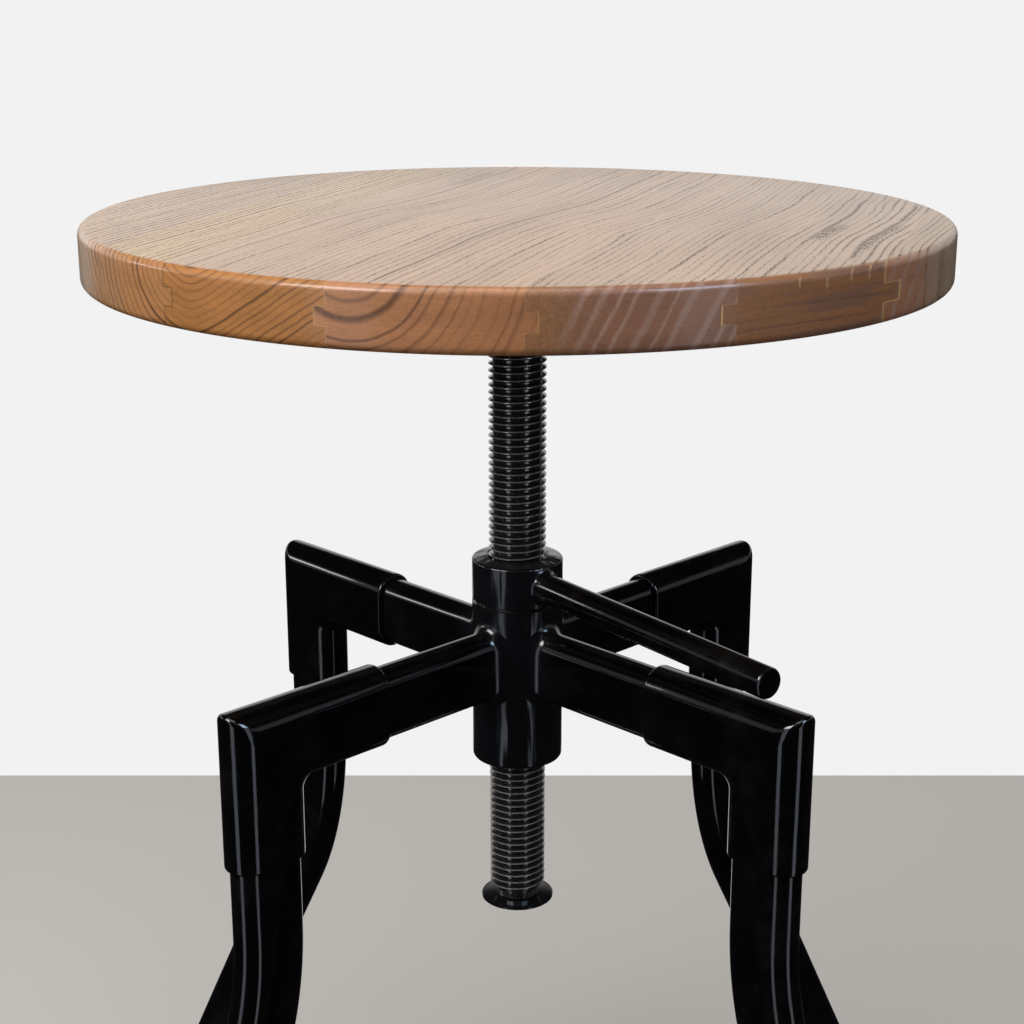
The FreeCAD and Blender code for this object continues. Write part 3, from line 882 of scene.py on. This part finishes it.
# Saddled bars: the handle and the arms

def saddle_rings(section, axis_height, weld):
    """Rings of a lumpy weld from the hub or collar out onto a level bar of a given section."""
    rings = []
    for angle in quarter(fillet_steps):
        sunk = weld_overlap if angle == 0 else 0
        ring = []
        for index, (h, t) in enumerate(section(weld * (1 - math.sin(angle)))):
            lump = 1 + weld_lump * math.sin(index * weld_lump_turn) * math.cos(angle)
            reach = math.sqrt(hub_radius ** 2 - t ** 2) + weld * (1 - math.cos(angle)) * lump
            ring.append((reach - sunk, t, axis_height + h))
        rings.append(ring)
    return rings


def circle(radius, steps=40):
    """Round section as (height, side) points."""
    return [(radius * math.cos(2 * math.pi * k / steps), radius * math.sin(2 * math.pi * k / steps))
            for k in range(steps)]


def level_ring(section, reach, axis_height):
    """A section set square across a level bar."""
    return [(reach, t, axis_height + h) for h, t in section]


handle_height = (hub_top + collar_top) / 2
handle_rings = saddle_rings(lambda offset: circle(handle_radius + offset), handle_height,
                            handle_weld)
for back, inset in ((1.0, 0.0), (0.3, 0.3), (0.0, 1.0)):
    handle_rings.append(level_ring(circle(handle_radius - inset * handle_end_chamfer),
                                   handle_reach - back * handle_end_chamfer, handle_height))
add_piece("handle", [turned(skin(handle_rings), handle_azimuth)], tube_coat, "lock",
          ["lock_handle"])


def arm():
    """Flat-oval tube from the hub's weld to its end inside the elbow, open inside."""
    end = leg_reach - tube_long / 2 - plug_gap
    bore = oval(tube_long, tube_short, -tube_wall)
    rings = saddle_rings(lambda offset: oval(tube_long, tube_short, offset), arm_height, arm_weld)
    rings.append(level_ring(oval(tube_long, tube_short), end, arm_height))
    rings.append(level_ring(bore, end, arm_height))
    rings.append([(math.sqrt(hub_radius ** 2 - t ** 2), t, arm_height + h) for h, t in bore])
    return skin(rings, closed=True)


# Elbow

def corner_radius(h):
    """Radius of the elbow's turn at a distance outside its centre line, small at the ridge."""
    flat = (tube_long - tube_short) / 2
    pivot = sleeve_long / 2 + elbow_inner_round
    if h <= -flat:
        return pivot + h
    if h <= flat:
        return pivot - flat + (elbow_flat_round - pivot + flat) * (h + flat) / (2 * flat)
    share = (h - flat) / (sleeve_long / 2 - flat)
    return elbow_flat_round + (elbow_ridge_round - elbow_flat_round) * share


def elbow_turn(section):
    """Rings round the elbow's corner, from the arm's side to the leg's."""
    rings = []
    for angle in quarter(bend_steps):
        ring = []
        for h, t in section:
            radius = corner_radius(h)
            ring.append((leg_reach + h - radius + radius * math.sin(angle), t,
                         arm_height + h - radius + radius * math.cos(angle)))
        rings.append(ring)
    return rings


def upright_ring(section, height):
    """A section set square across the plumb part of the leg."""
    return [(leg_reach + h, t, height) for h, t in section]


def elbow():
    """Socket over the arm's and the leg's tubes, both mouths rounded over."""
    wall = oval(sleeve_long, sleeve_short, fit_clearance - elbow_wall)
    outer = oval(sleeve_long, sleeve_short)
    lip = []
    for angle in quarter(5):
        section = oval(sleeve_long, sleeve_short, elbow_lip_round * (math.sin(angle) - 1))
        lip.append((section, elbow_lip_round * (1 - math.cos(angle))))
    rings = [level_ring(wall, elbow_mouth_reach, arm_height)]
    rings += [level_ring(section, elbow_mouth_reach + back, arm_height) for section, back in lip]
    rings += elbow_turn(outer)
    rings += [upright_ring(section, elbow_mouth_height + back) for section, back in reversed(lip)]
    rings.append(upright_ring(wall, elbow_mouth_height))
    rings += elbow_turn(wall)[::-1]
    return skin(rings, closed=True)


# Leg and foot

bend_end_reach = leg_reach + bend_radius * (1 - math.cos(leg_splay))
bend_end_height = bend_start - bend_radius * math.sin(leg_splay)
tube_end_height = foot_sole + tube_long / 2 * math.sin(leg_splay)
tube_end_reach = bend_end_reach + (bend_end_height - tube_end_height) * math.tan(leg_splay)


def leg_ring(section, reach, height, lean):
    """A section set square across the leg where it leans outward by an angle."""
    return [(reach + h * math.cos(lean), t, height + h * math.sin(lean)) for h, t in section]


def leg():
    """Bent flat-oval tube from the elbow to the foot, open inside."""
    stations = [(leg_reach, arm_height - tube_long / 2 - plug_gap, 0.0)]
    for step in range(bend_steps + 1):
        lean = leg_splay * step / bend_steps
        stations.append((leg_reach + bend_radius * (1 - math.cos(lean)),
                         bend_start - bend_radius * math.sin(lean), lean))
    stations.append((tube_end_reach, tube_end_height, leg_splay))
    outer = [leg_ring(oval(tube_long, tube_short), *station) for station in stations]
    inner = [leg_ring(oval(tube_long, tube_short, -tube_wall), *station) for station in stations]
    return skin(outer + inner[::-1], closed=True)


def foot():
    """Push-on rubber cap, its sole flat on the floor."""
    down = (math.sin(leg_splay), -math.cos(leg_splay))

    def ring(offset, along):
        return leg_ring(oval(tube_long, tube_short, offset), tube_end_reach + along * down[0],
                        tube_end_height + along * down[1], leg_splay)

    def floor_ring(offset, height):
        points = []
        for x, y, z in ring(offset, 0):
            run = (z - height) / -down[1]
            points.append((x + down[0] * run, y, height))
        return points

    rings = [ring(fit_clearance, fit_clearance), ring(fit_clearance, -foot_cover)]
    for angle in quarter(4):
        rings.append(ring(foot_wall - foot_edge_round * (1 - math.sin(angle)),
                          foot_edge_round * (1 - math.cos(angle)) - foot_cover))
    for angle in quarter(4):
        rings.append(floor_ring(foot_wall - foot_edge_round * (1 - math.cos(angle)),
                                foot_edge_round * (1 - math.sin(angle))))
    return skin(rings)


LIMB = (
    ("arm_tube", "arm", arm, tube_coat, "black_coat"),
    ("elbow_socket", "elbow", elbow, tube_coat, "black_coat"),
    ("leg_tube", "leg", leg, tube_coat, "black_coat"),
    ("foot_cap", "foot", foot, rubber(), "foot_rubber"),
)
for number in range(1, 5):
    azimuth = first_arm_azimuth + 90 * (number - 1)
    for label, node, form, material, slot in LIMB:
        add_piece("%s_%d" % (label, number), [turned(form(), azimuth)], material, "frame",
                  ["%s_%d" % (node, number)])


# Camera, at the photograph's place

image_pixels = 1024
focal_pixels = 1881.3
sensor_metres = 0.036
centre_pixels = (517.4, 512.0)
camera_distance = 746.0
camera_rise = 100.1
camera_tilt = math.radians(16.652)

camera_data = bpy.data.cameras.new("camera")
camera_data.sensor_width = sensor_metres / MM
camera_data.lens = focal_pixels / image_pixels * sensor_metres / MM
camera_data.shift_x = (image_pixels / 2 - centre_pixels[0]) / image_pixels
camera_data.shift_y = (centre_pixels[1] - image_pixels / 2) / image_pixels
camera_data.clip_start = 0.05
camera = bpy.data.objects.new("camera", camera_data)
bpy.context.scene.collection.objects.link(camera)
look = Matrix.Rotation(math.pi / 2 - camera_tilt, 4, "X")
eye = Vector((0, -camera_distance, seat_top + camera_rise)) * MM
camera.matrix_world = Matrix.Translation(eye) @ look
bpy.context.scene.camera = camera


# Floor

floor_far_edge = 0.716
floor_extent = 6.0
floor_bounce = rgb(0.13, 0.115, 0.10)


def floor_material():
    """Plain pale floor with a faint unevenness."""
    shade = Shading("floor")
    cloud = shade.noise(shade.place["Object"], scale=1.5, detail=3.0)
    colour = shade.mix(cloud, rgb(0.58, 0.545, 0.51), rgb(0.62, 0.59, 0.555))
    seen = shade.node("ShaderNodeLightPath").outputs["Is Camera Ray"]
    colour = shade.mix(seen, floor_bounce, colour)
    return shade.finish(Base_Color=colour, Roughness=0.6)


floor_mesh = bpy.data.meshes.new("floor")
floor_mesh.from_pydata([(-floor_extent, -floor_extent, 0), (floor_extent, -floor_extent, 0),
                        (floor_extent, floor_far_edge, 0), (-floor_extent, floor_far_edge, 0)],
                       [], [(0, 1, 2, 3)])
floor_mesh.materials.append(floor_material())
floor = bpy.data.objects.new("floor", floor_mesh)
bpy.context.scene.collection.objects.link(floor)
floor.visible_glossy = False


# Lights

def softbox(name, azimuth_degrees, distance, height, aim_height, width, tall, brightness,
            colour=(1.0, 1.0, 1.0), mirrored=True, lights_up=True):
    """Area light round the stool, sizes in metres, seen in gloss, lighting matt faces, or both."""
    light = bpy.data.lights.new(name, "AREA")
    light.shape = "RECTANGLE"
    light.size = width
    light.size_y = tall
    light.energy = brightness * math.pi * width * tall
    light.color = colour
    lamp = bpy.data.objects.new(name, light)
    bpy.context.scene.collection.objects.link(lamp)
    azimuth = math.radians(azimuth_degrees)
    place = Vector((distance * math.cos(azimuth), distance * math.sin(azimuth), height))
    lamp.location = place
    lamp.rotation_euler = (Vector((0, 0, aim_height)) - place).to_track_quat("-Z", "Y").to_euler()
    lamp.visible_camera = False
    lamp.visible_glossy = mirrored
    lamp.visible_diffuse = lights_up


cool_white = (0.80, 0.89, 1.0)
sky_blue = (0.55, 0.76, 1.0)
softbox("strip_left", 228, 1.7, 0.30, 0.30, 0.46, 2.6, 1.4, cool_white, lights_up=False)
softbox("strip_right", 314, 1.5, 0.30, 0.30, 0.36, 2.6, 1.4, cool_white, lights_up=False)
softbox("high_front", 270, 1.3, 1.45, 0.40, 1.6, 0.22, 0.8, cool_white, lights_up=False)
softbox("window_left", 224, 1.30, 1.35, 0.40, 0.70, 0.60, 14.0, lights_up=False)
softbox("window_right", 316, 1.30, 1.35, 0.40, 0.60, 0.60, 12.0, sky_blue, lights_up=False)
softbox("back_left", 170, 1.6, 0.87, 0.44, 0.5, 0.12, 9.0, lights_up=False)
softbox("overhead", 250, 0.5, 1.9, 0.40, 1.1, 1.1, 2.9)
softbox("key", 205, 1.1, 1.15, 0.50, 0.9, 0.9, 3.5, mirrored=False)


def set_world():
    """Near-white backdrop for the camera, soft even fill, and a studio for the reflections."""
    world = bpy.data.worlds.new("studio")
    bpy.context.scene.world = world
    world.use_nodes = True
    tree = world.node_tree
    tree.nodes.clear()

    def node(kind, **settings):
        made = tree.nodes.new(kind)
        for key, value in settings.items():
            setattr(made, key, value)
        return made

    def backdrop(red, green, blue):
        made = node("ShaderNodeBackground")
        made.inputs["Color"].default_value = rgb(red, green, blue)
        return made.outputs[0]

    def step(value, low, high):
        made = node("ShaderNodeMapRange", interpolation_type="SMOOTHSTEP")
        tree.links.new(value, made.inputs[0])
        made.inputs[1].default_value = low
        made.inputs[2].default_value = high
        return made.outputs[0]

    def joined(made, *values):
        for socket, value in zip(made.inputs, values):
            tree.links.new(value, socket)
        return made.outputs[0]

    def sum_of(operation, *values):
        return joined(node("ShaderNodeMath", operation=operation), *values)

    def blend(share, first, second):
        return joined(node("ShaderNodeMixShader"), share, first, second)

    rays = node("ShaderNodeLightPath").outputs
    direction = node("ShaderNodeSeparateXYZ")
    tree.links.new(node("ShaderNodeTexCoord").outputs["Generated"], direction.inputs[0])
    sideways = sum_of("ABSOLUTE", direction.outputs["X"])
    upward = direction.outputs["Z"]

    # A bright wall behind the stool, its sweep down to the floor, and dim sides
    low_sky = step(upward, 0.46, 0.26)
    wall = sum_of("MULTIPLY", low_sky, step(upward, -0.04, 0.03))
    sweep = sum_of("MULTIPLY", step(sideways, 0.30, 0.18), step(upward, -0.55, -0.45))
    sweep = sum_of("MULTIPLY", sweep, low_sky)
    behind = sum_of("MULTIPLY", step(direction.outputs["Y"], 0.35, 0.75),
                    sum_of("MAXIMUM", wall, sweep))
    beside = sum_of("MULTIPLY", step(upward, 0.10, 0.18), step(upward, 0.45, 0.35))
    beside = sum_of("MULTIPLY", step(sideways, 0.75, 0.90), beside)
    mirrored = blend(beside, backdrop(0.010, 0.010, 0.012), backdrop(0.42, 0.42, 0.45))
    mirrored = blend(behind, mirrored, backdrop(0.90, 0.90, 0.90))

    matt = blend(step(upward, -0.06, 0.0), backdrop(0.05, 0.05, 0.05), backdrop(0.50, 0.50, 0.50))
    lit = blend(rays["Is Glossy Ray"], matt, mirrored)
    whole = blend(rays["Is Camera Ray"], lit, backdrop(0.888, 0.888, 0.888))
    tree.links.new(whole, node("ShaderNodeOutputWorld").inputs["Surface"])


set_world()
bpy.context.scene.view_settings.view_transform = "Standard"
